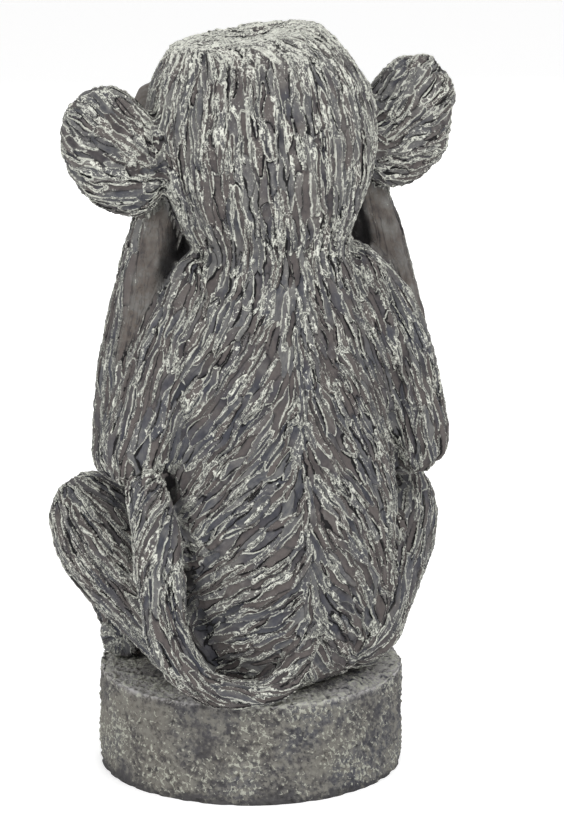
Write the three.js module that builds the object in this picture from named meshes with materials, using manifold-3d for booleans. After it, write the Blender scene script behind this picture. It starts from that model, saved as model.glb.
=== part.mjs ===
// A cast garden ornament: a squatting monkey that covers its eyes, on a round plinth.
// Millimetres, +Z up. The monkey faces -Y and its left side is +X.
// The origin is the middle of the plinth's underside.
import * as THREE from "three";
import { mergeVertices } from "three/addons/utils/BufferGeometryUtils.js";
import Module from "manifold-3d";

const wasm = await Module();
wasm.setup();

// Plinth, and how the figure stands on it
const plinthDiameter = 117;
const plinthHeight = 38.5;
const plinthEdgeRound = 2.4;
const plinthWobble = 0.7;
const figureShift = -2.5;
const seamGap = 0.3;

// Trunk and head: rises are heights above the plinth's top
const trunkHalfWidth = 48;
const trunkHalfDepth = 47;
const bladeMiddle = [33, 24, 122];
const bladeHalf = [13, 13, 38];
const neckRise = 161;
const neckMiddle = 15;
const headHalfWidth = 42.5;
const headHalfDepth = 39;
const crownRise = 237.5;
const crownTilt = 5.5;
const headLean = 3;
const muzzleMiddle = [0, -30, 184];
const muzzleHalf = [23, 17, 13];
const chinMiddle = [0, -25, 174];
const chinHalf = [16, 15, 10];
const noseMiddle = [0, -33, 204];
const noseHalf = [8, 9, 19];
const cheekMiddle = [19, -14, 186];
const cheekHalf = [20, 19, 18];
const browMiddle = [0, -26, 222];
const browHalf = [27, 8, 6];
const dishMiddle = [0, 8, 241.5];
const dishHalf = [22, 20, 6.5];
const earMiddle = [56, 13, 201];
const earHalfWidth = 18.5;
const earHalfHeight = 25;
const earHalfThickness = 8.5;
const earWall = 5;
const earLean = 24;

// Landmarks of the left limbs: distance from the figure's middle plane, y, rise
const shoulder = [24.5, 16, 150];
const elbow = [51, 18, 89];
const forearmFoot = [53, 6, 85];
const wrist = [30, 0, 194];
const eye = [14, -36, 207];
const hip = [31, 20, 19];
const knee = [58, -16, 56];
const ankle = [42, -33, 14];
const heel = [47, -19, 8];
const toes = [30, -41, 5];

// The figure isn't quite even: shifts of the right side's landmarks
const rightShoulderShift = [4.5, 0, 0];
const rightElbowShift = [3, 0, -3];
const rightWristShift = [6, 0, 0];
const rightHipShift = [-3, 8, 2];

// How far the limbs bow out of the straight line between their landmarks
const leftUpperArmBow = [1.5, 1.5, 2];
const rightUpperArmBow = [5, 1.5, 2];
const forearmBow = [5, 2, 0];
const thighBow = [5, 0, 3];
const shinBow = [-1, -12, 0];

const upperArmRadius = 15.5;
const forearmRadius = 11;
const thighRadius = 19.5;
const shinRadius = 12.5;
const palmHalfHeight = 12;
const palmHalfThickness = 7;
const palmBow = [8, -6, 7];
const fingerRadius = 4.2;
const fingerBend = 6;
const footHalfWidth = 11;
const footHalfHeight = 9;
const toeRadius = 4.6;
const toeReach = 6;

// The tail's way: from the spine's foot round under the rump and up between rump and left thigh
const tailRootRadius = 5;
const tailRadius = 8.7;
const tailWay = [
  [2, 55.5, 20],
  [8, 57, 11],
  [18, 55, 5.5],
  [31, 52.5, 5.5],
  [42, 49.5, 11],
  [49.5, 46, 22],
  [51.5, 41, 40],
  [51.2, 38, 58],
  [54, 32, 78],
];

// Colours and finish, read from the photograph
const castStone = { color: 0x85827b, roughness: 0.9, metalness: 0 };
const castStoneDark = { color: 0x76736d, roughness: 0.9, metalness: 0 };

// A point of the figure in the frame of the whole object; side is 1 for the left and -1 for the right
function place([out, y, rise], side = 1) {
  return new THREE.Vector3(figureShift + side * out, y, plinthHeight + rise);
}

// A landmark, shifted on the right side only
function stance(landmark, side, rightShift) {
  return side > 0 ? landmark : landmark.map((value, i) => value + rightShift[i]);
}

// A solid from a closed geometry
function solidOf(geometry) {
  geometry.deleteAttribute("normal");
  geometry.deleteAttribute("uv");
  const merged = mergeVertices(geometry, 1e-4);
  return new wasm.Manifold(new wasm.Mesh({
    numProp: 3,
    vertProperties: new Float32Array(merged.attributes.position.array),
    triVerts: new Uint32Array(merged.index.array),
  }));
}

// A body swept along stations { at, width, depth }, made by moving the rings of a sphere.
// Each end is closed by a dome as long as `dome` times the least half size there.
// `level` keeps every section horizontal, and `grow` is added all round.
function sweep(stations, options = {}) {
  const { around = 12, rings = 14, dome = 1, level = false, grow = 0 } = options;
  const wide = options.wide ?? new THREE.Vector3(1, 0, 0);
  const path = new THREE.CatmullRomCurve3(stations.map(({ at }) => at), false, "catmullrom", 0.5);
  const halves = stations.map(({ width, depth }) => new THREE.Vector3(width, depth, 0));
  const sizes = new THREE.CatmullRomCurve3(halves, false, "catmullrom", 0.5);
  const domeRings = Math.max(2, Math.round(rings / 5));
  const domeShare = domeRings / rings;
  const geometry = new THREE.SphereGeometry(1, around, rings);
  const position = geometry.attributes.position;
  const vertex = new THREE.Vector3();

  for (let i = 0; i < position.count; i += 1) {
    vertex.fromBufferAttribute(position, i);
    const share = Math.acos(THREE.MathUtils.clamp(vertex.y, -1, 1)) / Math.PI;
    const turn = Math.atan2(vertex.z, vertex.x);
    const along = THREE.MathUtils.clamp((share - domeShare) / (1 - 2 * domeShare), 0, 1);
    const before = Math.min(0, share / domeShare - 1);
    const after = Math.max(0, (share - 1) / domeShare + 1);
    const domeTurn = (before + after) * Math.PI / 2;

    const centre = path.getPoint(along);
    const size = sizes.getPoint(along);
    const forward = level ? new THREE.Vector3(0, 0, 1) : path.getTangent(along);
    const across = wide.clone().addScaledVector(forward, -wide.dot(forward)).normalize();
    const deep = new THREE.Vector3().crossVectors(forward, across);
    const domeLength = dome * Math.min(size.x, size.y) + grow;
    centre.addScaledVector(forward, Math.sin(domeTurn) * domeLength);
    centre.addScaledVector(across, Math.cos(turn) * Math.cos(domeTurn) * (size.x + grow));
    centre.addScaledVector(deep, Math.sin(turn) * Math.cos(domeTurn) * (size.y + grow));
    position.setXYZ(i, centre.x, centre.y, centre.z);
  }
  return solidOf(geometry);
}

// Level stations of the trunk or head: rise, middle y, half width, half depth
function levelStations(outline) {
  return outline.map(([rise, y, width, depth]) => ({ at: place([0, y, rise]), width, depth }));
}

// Stations of a limb: a point of the left side, half width and, where it differs, half depth
function limbStations(points, side) {
  return points.map(([at, width, depth = width]) => ({ at: place(at, side), width, depth }));
}

// The point that lies `share` of the way from one landmark to the next, pushed aside by `push`
function between(from, to, share, push = [0, 0, 0]) {
  return from.map((value, i) => THREE.MathUtils.lerp(value, to[i], share) + push[i]);
}

// An ellipsoid about a point of the figure, with its top leaned outward by `lean` degrees
function ellipsoid(at, [width, depth, height], options = {}) {
  const { side = 1, lean = 0, around = 18, rings = 10, grow = 0 } = options;
  const geometry = new THREE.SphereGeometry(1, around, rings);
  geometry.rotateX(Math.PI / 2);
  geometry.scale(width + grow, depth + grow, height + grow);
  geometry.rotateY(side * THREE.MathUtils.degToRad(lean));
  const middle = place(at, side);
  geometry.translate(middle.x, middle.y, middle.z);
  return solidOf(geometry);
}

// The head leans to the figure's left about the neck, with all that sits on it
function leaned(solid) {
  const pivot = place([0, neckMiddle, neckRise]);
  return solid
    .translate([-pivot.x, -pivot.y, -pivot.z])
    .rotate([0, headLean, 0])
    .translate([pivot.x, pivot.y, pivot.z]);
}

function joined(solids) {
  return solids.reduce((whole, next) => whole.add(next));
}

function without(solid, cutters) {
  return cutters.reduce((rest, cutter) => rest.subtract(cutter), solid);
}

// Round plinth with softened, slightly uneven edges and a flat underside
function plinth(grow = 0) {
  const radius = plinthDiameter / 2;
  const softened = plinthEdgeRound * 0.3;
  const profile = [
    new THREE.Vector2(0, -grow),
    new THREE.Vector2(radius - softened / 2 + grow, -grow),
    new THREE.Vector2(radius + grow, softened),
    new THREE.Vector2(radius + grow, plinthHeight - plinthEdgeRound),
    new THREE.Vector2(radius - softened + grow, plinthHeight - softened + grow),
    new THREE.Vector2(radius - plinthEdgeRound + grow, plinthHeight + grow),
    new THREE.Vector2(0, plinthHeight + grow),
  ];
  const geometry = new THREE.LatheGeometry(profile, 44);
  geometry.rotateX(Math.PI / 2);
  const position = geometry.attributes.position;
  for (let i = 0; i < position.count; i += 1) {
    const turn = Math.atan2(position.getY(i), position.getX(i));
    const wobble = plinthWobble * (Math.sin(3 * turn + 0.6) + 0.6 * Math.sin(7 * turn + 2));
    const reach = 1 + wobble / radius;
    position.setX(i, position.getX(i) * reach);
    position.setY(i, position.getY(i) * reach);
  }
  return solidOf(geometry);
}

// Pear-shaped trunk with its shoulder blades, from the seat to the base of the neck: share of the
// neck's rise, middle y, and shares of the greatest half width and half depth
function torso(grow = 0) {
  const outline = [
    [0.02, 13, 0.62, 0.74],
    [0.06, 12.5, 0.74, 0.86],
    [0.14, 11.5, 0.86, 0.94],
    [0.25, 12.5, 0.96, 1],
    [0.37, 13.5, 0.99, 1],
    [0.5, 13, 0.97, 0.94],
    [0.62, 12, 0.95, 0.85],
    [0.74, 12.5, 0.93, 0.78],
    [0.84, 13, 0.86, 0.72],
    [0.92, 14, 0.73, 0.66],
    [0.98, 15, 0.62, 0.62],
    [1.02, 15, 0.57, 0.6],
  ];
  const stations = levelStations(outline.map(([rise, y, width, depth]) => [
    rise * neckRise, y, width * trunkHalfWidth, depth * trunkHalfDepth,
  ]));
  const trunk = sweep(stations, { around: 28, rings: 22, dome: 0.1, level: true, grow });
  const blades = [1, -1].map((side) => ellipsoid(bladeMiddle, bladeHalf, { grow, side, around: 16 }));
  return joined([trunk, ...blades]);
}

// Head without its face: share of the way from neck to crown, middle y, and shares of the
// greatest half width and half depth
function skull(grow = 0) {
  const outline = [
    [-0.06, 15, 0.69, 0.71],
    [0.08, 13, 0.73, 0.8],
    [0.25, 12, 0.9, 0.94],
    [0.45, 11, 1, 1],
    [0.63, 10, 1, 1],
    [0.78, 9, 0.92, 0.93],
    [0.9, 8, 0.79, 0.8],
    [0.98, 7.5, 0.66, 0.66],
    [1.06, 7, 0.5, 0.5],
  ];
  const headHeight = crownRise - neckRise;
  const stations = levelStations(outline.map(([rise, y, width, depth]) => [
    neckRise + rise * headHeight, y, width * headHalfWidth, depth * headHalfDepth,
  ]));
  return sweep(stations, { around: 24, rings: 16, dome: 0.06, level: true, grow });
}

// All above the crown, which falls towards the figure's left
function aboveCrown(grow = 0) {
  const reach = 2 * headHalfWidth;
  const geometry = new THREE.BoxGeometry(2 * reach, 2 * reach, reach);
  geometry.translate(0, 0, reach / 2 + grow);
  geometry.rotateY(THREE.MathUtils.degToRad(crownTilt));
  const middle = place([0, 0, crownRise]);
  geometry.translate(middle.x, middle.y, middle.z);
  return solidOf(geometry);
}

// Head with its muzzle, chin, nose, cheeks and brow, and with a flat, dished crown
function head(grow = 0) {
  const muzzle = ellipsoid(muzzleMiddle, muzzleHalf, { grow, around: 16 });
  const chin = ellipsoid(chinMiddle, chinHalf, { grow, around: 14, rings: 8 });
  const nose = ellipsoid(noseMiddle, noseHalf, { grow, around: 12, rings: 8 });
  const brow = ellipsoid(browMiddle, browHalf, { grow, around: 16, rings: 8 });
  const cheekShape = { grow, around: 12, rings: 8 };
  const cheeks = [1, -1].map((side) => ellipsoid(cheekMiddle, cheekHalf, { ...cheekShape, side }));
  const dish = ellipsoid(dishMiddle, dishHalf, { grow: -grow, lean: crownTilt, around: 16, rings: 8 });
  const face = joined([skull(grow), muzzle, chin, nose, brow, ...cheeks]);
  return leaned(without(face, [aboveCrown(grow), dish]));
}

// Round ear, domed at the back and cupped at the front
function ear(side) {
  const shell = [earHalfWidth, earHalfThickness, earHalfHeight];
  const cup = [earHalfWidth - earWall, earHalfThickness, earHalfHeight - 1.2 * earWall];
  const cupMiddle = [earMiddle[0] + earWall * 0.3, earMiddle[1] - earHalfThickness * 1.12, earMiddle[2]];
  const whole = ellipsoid(earMiddle, shell, { side, lean: earLean, around: 18, rings: 10 });
  return leaned(whole.subtract(ellipsoid(cupMiddle, cup, { side, lean: earLean, around: 14, rings: 8 })));
}

function upperArm(side, grow = 0) {
  const top = stance(shoulder, side, rightShoulderShift);
  const low = stance(elbow, side, rightElbowShift);
  const bow = side > 0 ? leftUpperArmBow : rightUpperArmBow;
  const high = between(top, low, 0.22, bow);
  const middle = between(top, low, 0.52, bow);
  const points = [
    [top, upperArmRadius * 0.85],
    [high, upperArmRadius * 0.88],
    [middle, upperArmRadius],
    [low, upperArmRadius],
  ];
  return sweep(limbStations(points, side), { dome: 0.9, grow });
}

function forearm(side, grow = 0) {
  const foot = stance(forearmFoot, side, rightElbowShift);
  const top = stance(wrist, side, rightWristShift);
  const points = [
    [foot, forearmRadius * 1.15],
    [between(foot, top, 0.3, forearmBow), forearmRadius * 1.08],
    [between(foot, top, 0.55, forearmBow), forearmRadius],
    [between(foot, top, 0.8, forearmBow.map((bow) => bow * 0.7)), forearmRadius * 0.88],
    [top, forearmRadius * 0.78],
  ];
  return sweep(limbStations(points, side), { dome: 0.8, grow });
}

// Palm and four fingers that reach across the eye
function hand(side) {
  const upright = new THREE.Vector3(0, 0, 1);
  const palmPoints = [
    [between(wrist, eye, 0.05, palmBow), palmHalfHeight * 0.75, palmHalfThickness],
    [between(wrist, eye, 0.5, palmBow), palmHalfHeight, palmHalfThickness],
    [between(wrist, eye, 0.8, palmBow.map((bow) => bow * 0.4)), palmHalfHeight * 0.9, palmHalfThickness * 0.85],
  ];
  const palm = sweep(limbStations(palmPoints, side), { around: 12, rings: 10, wide: upright });
  const knuckle = between(wrist, eye, 0.75, palmBow.map((bow) => bow * 0.4));
  const reach = knuckle[0] - fingerRadius - 1;
  const fingers = [0.75, 1, 0.95, 0.75].map((share, i) => {
    const length = share * reach;
    const rise = (i - 1.2) * fingerRadius * 1.5;
    const root = between(knuckle, knuckle, 0, [0, 0, rise * 0.85]);
    const bend = between(knuckle, knuckle, 0, [-length * 0.55, -fingerBend, rise]);
    const tip = between(knuckle, knuckle, 0, [-length, -fingerBend, rise * 1.05]);
    const points = [[root, fingerRadius], [bend, fingerRadius], [tip, fingerRadius * 0.85]];
    return sweep(limbStations(points, side), { around: 7, rings: 7 });
  });
  return leaned(joined([palm, ...fingers]));
}

// Haunch and thigh in one form, from the seat up to the knee
function thigh(side, grow = 0) {
  const seat = stance(hip, side, rightHipShift);
  const points = [
    [seat, thighRadius],
    [between(seat, knee, 0.35, thighBow.map((bow) => bow * 0.5)), thighRadius * 1.02],
    [between(seat, knee, 0.7, thighBow), thighRadius * 1.02],
    [knee, thighRadius * 0.93],
  ];
  return sweep(limbStations(points, side), { around: 16, rings: 14, grow });
}

function shin(side, grow = 0) {
  const points = [
    [between(knee, ankle, 0.05, shinBow), shinRadius],
    [between(knee, ankle, 0.5, shinBow), shinRadius],
    [ankle, shinRadius * 0.85],
  ];
  return sweep(limbStations(points, side), { grow });
}

// Foot with four toes spread along its front
function foot(side) {
  const instep = between(heel, toes, 0.5, [0, 0, footHalfHeight * 0.4]);
  const solePoints = [
    [heel, footHalfWidth * 0.9, footHalfHeight],
    [instep, footHalfWidth, footHalfHeight],
    [toes, footHalfWidth, footHalfHeight * 0.7],
  ];
  const sole = sweep(limbStations(solePoints, side), { around: 10, dome: 0.8, rings: 10 });
  const direction = new THREE.Vector2(toes[0] - heel[0], toes[1] - heel[1]).normalize();
  const toeSolids = [-1.5, -0.5, 0.5, 1.5].map((slot) => {
    const spread = slot * toeRadius * 1.35;
    const root = [toes[0] - direction.y * spread, toes[1] + direction.x * spread, toes[2]];
    const tip = [root[0] + direction.x * toeReach, root[1] + direction.y * toeReach, toeRadius * 0.7];
    return sweep(limbStations([[root, toeRadius], [tip, toeRadius * 0.9]], side), { around: 7, rings: 6 });
  });
  return joined([sole, ...toeSolids]);
}

// Bushy tail, thin at its root
function tail() {
  const swell = [1, 1, 1, 1.1, 0.78, 0.9, 0.98, 1, 0.82];
  const radii = swell.map((share, i) => share * (i < 4 ? tailRootRadius : tailRadius));
  const points = tailWay.map((at, i) => [at, radii[i]]);
  return sweep(limbStations(points, 1), { around: 12, rings: 28, wide: new THREE.Vector3(0, 1, 0) });
}

function meshOf(name, solid, look) {
  const { vertProperties, triVerts } = solid.getMesh();
  const geometry = new THREE.BufferGeometry();
  geometry.setAttribute("position", new THREE.BufferAttribute(new Float32Array(vertProperties), 3));
  geometry.setIndex(new THREE.BufferAttribute(new Uint32Array(triVerts), 1));
  geometry.computeVertexNormals();
  const mesh = new THREE.Mesh(geometry, new THREE.MeshStandardMaterial(look));
  mesh.name = name;
  return mesh;
}

// Each casting is cut back by the grown forms of the castings that it is bonded to
const figurine = new THREE.Group();
const grownPlinth = plinth(seamGap);
const grownTorso = torso(seamGap);
const grownHead = head(seamGap);
const tailCutters = [grownTorso, grownPlinth, thigh(1, seamGap), upperArm(1, seamGap)];

figurine.add(meshOf("plinth", plinth(), castStoneDark));
figurine.add(meshOf("torso", torso().subtract(grownPlinth), castStone));
figurine.add(meshOf("head", head().subtract(grownTorso), castStone));
figurine.add(meshOf("tail", without(tail(), tailCutters), castStone));

for (const [name, side] of [["left", 1], ["right", -1]]) {
  const grownThigh = thigh(side, seamGap);
  const grownShin = shin(side, seamGap);
  const grownUpperArm = upperArm(side, seamGap);
  const grownForearm = forearm(side, seamGap);
  const castings = {
    thigh: without(thigh(side), [grownTorso, grownPlinth]),
    shin: without(shin(side), [grownTorso, grownPlinth, grownThigh]),
    foot: without(foot(side), [grownPlinth, grownTorso, grownThigh, grownShin]),
    upper_arm: without(upperArm(side), [grownTorso, grownHead, grownThigh]),
    forearm: without(forearm(side), [grownTorso, grownThigh, grownUpperArm, grownHead]),
    ear: without(ear(side), [grownHead, grownForearm]),
    hand: without(hand(side), [grownHead, grownForearm]),
  };
  for (const [casting, solid] of Object.entries(castings)) {
    figurine.add(meshOf(`${casting}_${name}`, solid, castStone));
  }
}

export default figurine;
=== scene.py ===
"""A cast stone ornament: a squatting monkey that covers its eyes, on a round rough plinth.

The figure's castings are joined into one soft clay form, the fur is carved into it along its lie,
and the carving is parted into its castings again. The plinth is turned and then roughened.
"""

import math

import bmesh
import bpy
import numpy as np
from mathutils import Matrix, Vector
from mathutils.bvhtree import BVHTree
from mathutils.geometry import tessellate_polygon


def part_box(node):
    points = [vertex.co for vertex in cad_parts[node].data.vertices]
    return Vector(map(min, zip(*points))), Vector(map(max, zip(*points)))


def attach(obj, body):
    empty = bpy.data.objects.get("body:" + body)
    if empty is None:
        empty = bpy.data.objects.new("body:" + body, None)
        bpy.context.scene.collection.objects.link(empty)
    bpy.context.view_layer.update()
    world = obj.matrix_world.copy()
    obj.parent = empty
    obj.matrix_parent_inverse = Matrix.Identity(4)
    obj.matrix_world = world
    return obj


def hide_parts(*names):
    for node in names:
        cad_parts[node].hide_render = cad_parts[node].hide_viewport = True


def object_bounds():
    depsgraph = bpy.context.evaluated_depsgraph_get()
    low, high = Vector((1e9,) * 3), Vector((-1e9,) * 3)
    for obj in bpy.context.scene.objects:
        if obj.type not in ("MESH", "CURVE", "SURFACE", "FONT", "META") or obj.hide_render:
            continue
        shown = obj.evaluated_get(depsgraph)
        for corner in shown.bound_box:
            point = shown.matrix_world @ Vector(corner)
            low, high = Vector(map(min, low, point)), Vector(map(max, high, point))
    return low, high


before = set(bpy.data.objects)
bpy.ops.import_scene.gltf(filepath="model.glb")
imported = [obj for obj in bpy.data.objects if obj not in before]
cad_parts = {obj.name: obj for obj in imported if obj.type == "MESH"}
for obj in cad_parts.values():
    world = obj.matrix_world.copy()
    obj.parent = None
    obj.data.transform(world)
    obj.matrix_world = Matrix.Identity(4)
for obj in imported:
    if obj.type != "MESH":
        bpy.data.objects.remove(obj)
cad_low, cad_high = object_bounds()

MM = 0.001
SIDES = (("left", 1), ("right", -1))
LIMBS = ("thigh", "shin", "foot", "upper_arm", "forearm", "ear", "hand")
FIGURE_NODES = ["torso", "head", "tail"] + [f"{limb}_{name}" for name, side in SIDES for limb in LIMBS]

# Where the figure stands and where its forms begin, in the object's own frame
FIGURE_MIDDLE = -2.5 * MM
HEAD_LEAN = 0.052
CROWN_EDGE = 258 * MM
CROWN_BAND = 6 * MM
FACE_TOP = 260 * MM
FACE_FRONT = -25 * MM
BELLY_FRONT = -25 * MM
TORSO_SPLIT = 8 * MM
KNEE_INNER, KNEE_OUTER = 38 * MM, 52 * MM
KNEE_TOP, KNEE_FULL = 125 * MM, 112 * MM
BARE_ARM_FROM, BARE_ARM_FULL = 145 * MM, 165 * MM

# Clay stage: the castings are swelled over their seams, joined and smoothed, and then refined
SEAM_SWELL = 0.35 * MM
CLAY_GRAIN = 1.2 * MM
CLAY_SMOOTHING = 18
SMOOTH_IN, SMOOTH_OUT = 0.5, 0.51
CROWN_KEPT = 0.85
DIGIT_SMOOTHING = 0.3
REFINE_STEPS = 1

# The mouth's line and the nostrils, which the photograph doesn't show
FACE_MIDDLE = -1 * MM
MOUTH = {"rise": 216 * MM, "curve": 14, "half_width": 19 * MM, "depth": 1.3 * MM, "width": 1.0 * MM}
NOSTRILS = {"apart": 4.6 * MM, "rise": 233 * MM, "radius": 1.9 * MM, "depth": 1.7 * MM}

# The grooves between the fingers, by their height, and between the toes, across from the middle one
FINGER_SEAMS = np.array([240.6, 246.9, 253.2]) * MM
FINGER_TIPS = (4 * MM, 7 * MM)
FINGER_ROOTS = (34 * MM, 18 * MM)
TOE_SEAMS = np.array([-6.2, 0, 6.2]) * MM
TOE_ROOT = np.array([30, -41]) * MM
TOE_RUN = np.array([-0.61, -0.79])
TOE_FADE = (-5 * MM, 0)
GROOVE_DEPTH = 1.1 * MM
GROOVE_WIDTH = 0.9 * MM

# The torso's fur by the share of its height: in millimetres where the spine runs and how wide the fur
# parts there, and in degrees how far it leans out from straight down
SPINE = ([0, 0.4, 1], [-1.1, 0, 0.8])
PARTING = ([0.3, 0.7], [8, 13])
LEFT_LEAN = ([0, 0.2, 0.45, 0.7, 0.9, 1], [62, 62, 55, 42, 25, 10])
RIGHT_LEAN = ([0, 0.2, 0.45, 0.7, 0.9, 1], [50, 42, 36, 30, 20, 8])

# The head's fur by the share of its height: how far it fans out, and how far it drifts to the right
LEFT_FAN = ([0, 0.25, 0.6, 0.85], [-0.3, -0.25, 0.15, 0.5])
RIGHT_FAN = ([0, 0.25, 0.6, 0.85], [-0.05, 0.1, 0.3, 0.5])
HEAD_DRIFT = ([0, 0.5, 0.8], [-0.2, -0.12, 0])
HEAD_BLEND = 15 * MM
CROWN_COMB = np.array([-1, 0.25, 0])
EAR_ROOT_DEPTH = 8 * MM

# The limbs' fur: which way it runs, as shares outwards, backwards and upwards
LIMB_RUNS = {
    "upper_arm": (0.32, 0, -1), "forearm": (0.2, 0.1, -1), "thigh": (-0.45, 0.55, -0.75),
    "shin": (-0.25, 0, -1), "foot": (-0.5, -1, -0.2), "hand": (-1, -0.45, 0),
}

# How long the strands are and how deep they are cut, where it isn't 1
FUR_STRETCH = {
    "thigh": 1.7, "shin": 1.5, "tail": 1.6, "upper_arm": 1.4, "forearm": 1.4, "head": 1.25, "ear": 0.8,
}
FUR_DEPTH = {"hand": 0.1, "foot": 0.5, "forearm": 0.75, "shin": 0.9}
TOES_BARE = ([-36 * MM, -24 * MM], [0.25, 1])

# Carved fur: tufts, and in them long gouges with raised rims and dark cracks between them
TUFT_LENGTH = 24 * MM
TUFT_WIDTH = 6 * MM
TUFT_RELIEF = 0.45 * MM
TUFT_BLEND = 2.2 * MM
STRAND_LENGTH = 16 * MM
STRAND_WIDTH = 3.1 * MM
STRAND_TURN = math.radians(4.5)
LENGTH_LEAST, LENGTH_MOST = 0.6, 1.5
WIDTH_LEAST, WIDTH_SPREAD = 0.5, 1.6
STRAND_RELIEF = 0.28 * MM
STRAND_BLEND = 0.5 * MM
GOUGE_DEPTH = 0.9 * MM
GOUGE_LIP, GOUGE_SLOPE = -0.1 * MM, 0.9 * MM
CRACK_DEPTH = 0.8 * MM
CRACK_WIDTH = 0.4 * MM
SHADOW_PLACE = 0.35 * MM
END_OPENING = 1.0 * MM
RIM_LEAST = 0.12 * MM
RIM_MOST = 1.0 * MM
SEED_SPACING = 0.58
SEED_TRIES = 12
BORDER_MIX = (12.9898, 78.233, 43758.5453)
TOP_ALLOWANCE = 0.35 * MM
WANDER = 0.3 * MM
WANDER_LENGTH = 8 * MM
PATCH_LENGTH = 16 * MM
SKIN_RELIEF = 0.12 * MM
CREASE_DEPTH = 0.7 * MM
CREASE_FROM, CREASE_FULL = 0.2 * MM, 1.1 * MM
LAY_ROUNDS = 8
SHELTER_RAYS = 10
SHELTER_SPREAD = 1.15
SHELTER_START = 0.8 * MM
SHELTER_REACH = 22 * MM

# The middle of an inner face, where a flat sheet doesn't close a casting
CAP_DEPTH = 4 * MM

# The plinth: fine rings near its rim and coarse ones further in, and a rough, worn, combed skin
FINE_RINGS = 26
TOP_RINGS = 44
UNDER_RINGS = 8
PLINTH_ROUGHNESS = 1.0 * MM
RIM_WEAR = 1.6 * MM
FOOT_WEAR = 1.3 * MM
FOOT_BAND = 5 * MM
RESTING = 0.1 * MM
COMB_STROKES = 58

# Paint: the colours as they are seen; the dark and black colours also serve as painted shade, and the pale
# ones also as painted light on upper surfaces
FUR_COLOURS = {
    "warm": "5c5654", "cool": "44464f", "floor_light": "747370", "rim": "525253", "rim_light": "bcbdb2",
    "skin": "625a53", "dark": "2c2c31", "black": "100f11", "pale": "ebece1",
}
PLINTH_COLOURS = {
    "warm": "716d66", "cool": "56575d", "mid": "7b7972", "lit_top_and_worn_rim": "adabab", "dark": "3c3b3f", "pale": "b9baad",
}

# Paint: the width and the wobble of the pale crests in millimetres, and the height of the fine relief
CREST_WIDTH = 0.26
RIM_WOBBLE = 0.5
BUMP_HEIGHT = 0.5 * MM

# Paint: where it changes, from the place where a change sets in to the place where it is full; the upper half
# and the flat crown get painted light from above
UPPER_HALF = (140 * MM, 260 * MM)
FLAT_CROWN = (262 * MM, 272 * MM)
NEAR_PLINTH = (64 * MM, 50 * MM)
KNEE_ASIDE, KNEE_HEIGHT = (48 * MM, 64 * MM), (130 * MM, 115 * MM)

# Light: the floor glows a little for the camera, so that it is white and keeps a faint shadow
SKY_LIGHT = 0.62
FLOOR_GLOW = 0.37
FLOOR_SIZE = 6

# The photograph's camera, aimed past the plinth's middle
CAMERA_AZIMUTH = math.radians(160)
CAMERA_DISTANCE = 1.12
CAMERA_HEIGHT = 0.392
CAMERA_LENS = 133.4
CAMERA_SENSOR = 36
AIM_HEIGHT = 0.1330
AIM_ASIDE = 0.01187

# Lamps: azimuth and elevation in degrees, then distance, width and power; all face the same spot
LAMPS = {
    "key": (195, 40, 1.6, 1.2, 12.8),
    "fill": (115, 14, 1.8, 1.4, 11.5),
    "front": (345, 30, 1.8, 1.4, 13),
}
LAMP_AIM = (0, 0, 0.14)

# What the paint reads from the carved figure, and where it is kept on the mesh
PAINT_KEYS = {
    "relief": "POINT", "swell": "POINT", "patchy": "POINT", "fur": "POINT", "crease": "POINT",
    "hollow": "POINT", "shelter": "POINT", "in_strand": "CORNER", "seam_kind": "FACE", "open_end": "FACE",
    "strand": "FACE", "next_strand": "FACE",
}

rng = np.random.default_rng(7)


# Small helpers

def only(obj):
    """Selects this object alone and makes it active."""
    bpy.ops.object.select_all(action="DESELECT")
    obj.select_set(True)
    bpy.context.view_layer.objects.active = obj


def select_only(parts, kind):
    """In edit mode, selects these edges or faces alone."""
    bpy.ops.mesh.select_mode(type=kind)
    bpy.ops.mesh.select_all(action="DESELECT")
    for part in parts:
        part.select_set(True)


def modified(obj, kind, **settings):
    """Adds one modifier and applies it."""
    only(obj)
    modifier = obj.modifiers.new(kind.title(), kind)
    for name, value in settings.items():
        setattr(modifier, name, value)
    bpy.ops.object.modifier_apply(modifier=modifier.name)


def read(items, key, width=1, kind=float):
    """One property of all of a mesh's vertices, edges, corners or faces, with a row for each."""
    values = np.empty(len(items) * width, kind)
    items.foreach_get(key, values)
    return values.reshape(-1, width) if width > 1 else values


def surface_of(mesh):
    """A mesh's points, its normals there, and the pairs of points that its edges join."""
    normals = read(mesh.vertex_normals, "vector", 3)
    return read(mesh.vertices, "co", 3), normals, read(mesh.edges, "vertices", 2, np.int64)


def quads_of(mesh):
    """The four vertices of each face, in the order of the faces' corners."""
    return read(mesh.loops, "vertex_index", 1, np.int64).reshape(-1, 4)


def set_points(mesh, points):
    mesh.vertices.foreach_set("co", points.ravel())
    mesh.update()


def unit(vectors):
    lengths = np.linalg.norm(vectors, axis=-1, keepdims=True)
    return vectors / np.maximum(lengths, 1e-12)


def smooth_step(low, high, values):
    share = np.clip((values - low) / (high - low), 0, 1)
    return share * share * (3 - 2 * share)


def averaged(values, ends, count):
    """Each vertex takes the mean of its neighbours' values."""
    weights = np.bincount(ends.ravel(), minlength=count)
    total = np.empty_like(values)
    for axis in range(values.shape[1]):
        column = values[:, axis]
        total[:, axis] = np.bincount(ends[:, 0], column[ends[:, 1]], count)
        total[:, axis] += np.bincount(ends[:, 1], column[ends[:, 0]], count)
    return total / np.maximum(weights, 1)[:, None]


def spread(values, ends, rounds, share=1):
    """Values run together with their neighbours' for some rounds."""
    for _ in range(rounds):
        values = (1 - share) * values + share * averaged(values, ends, len(values))
    return values


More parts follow.
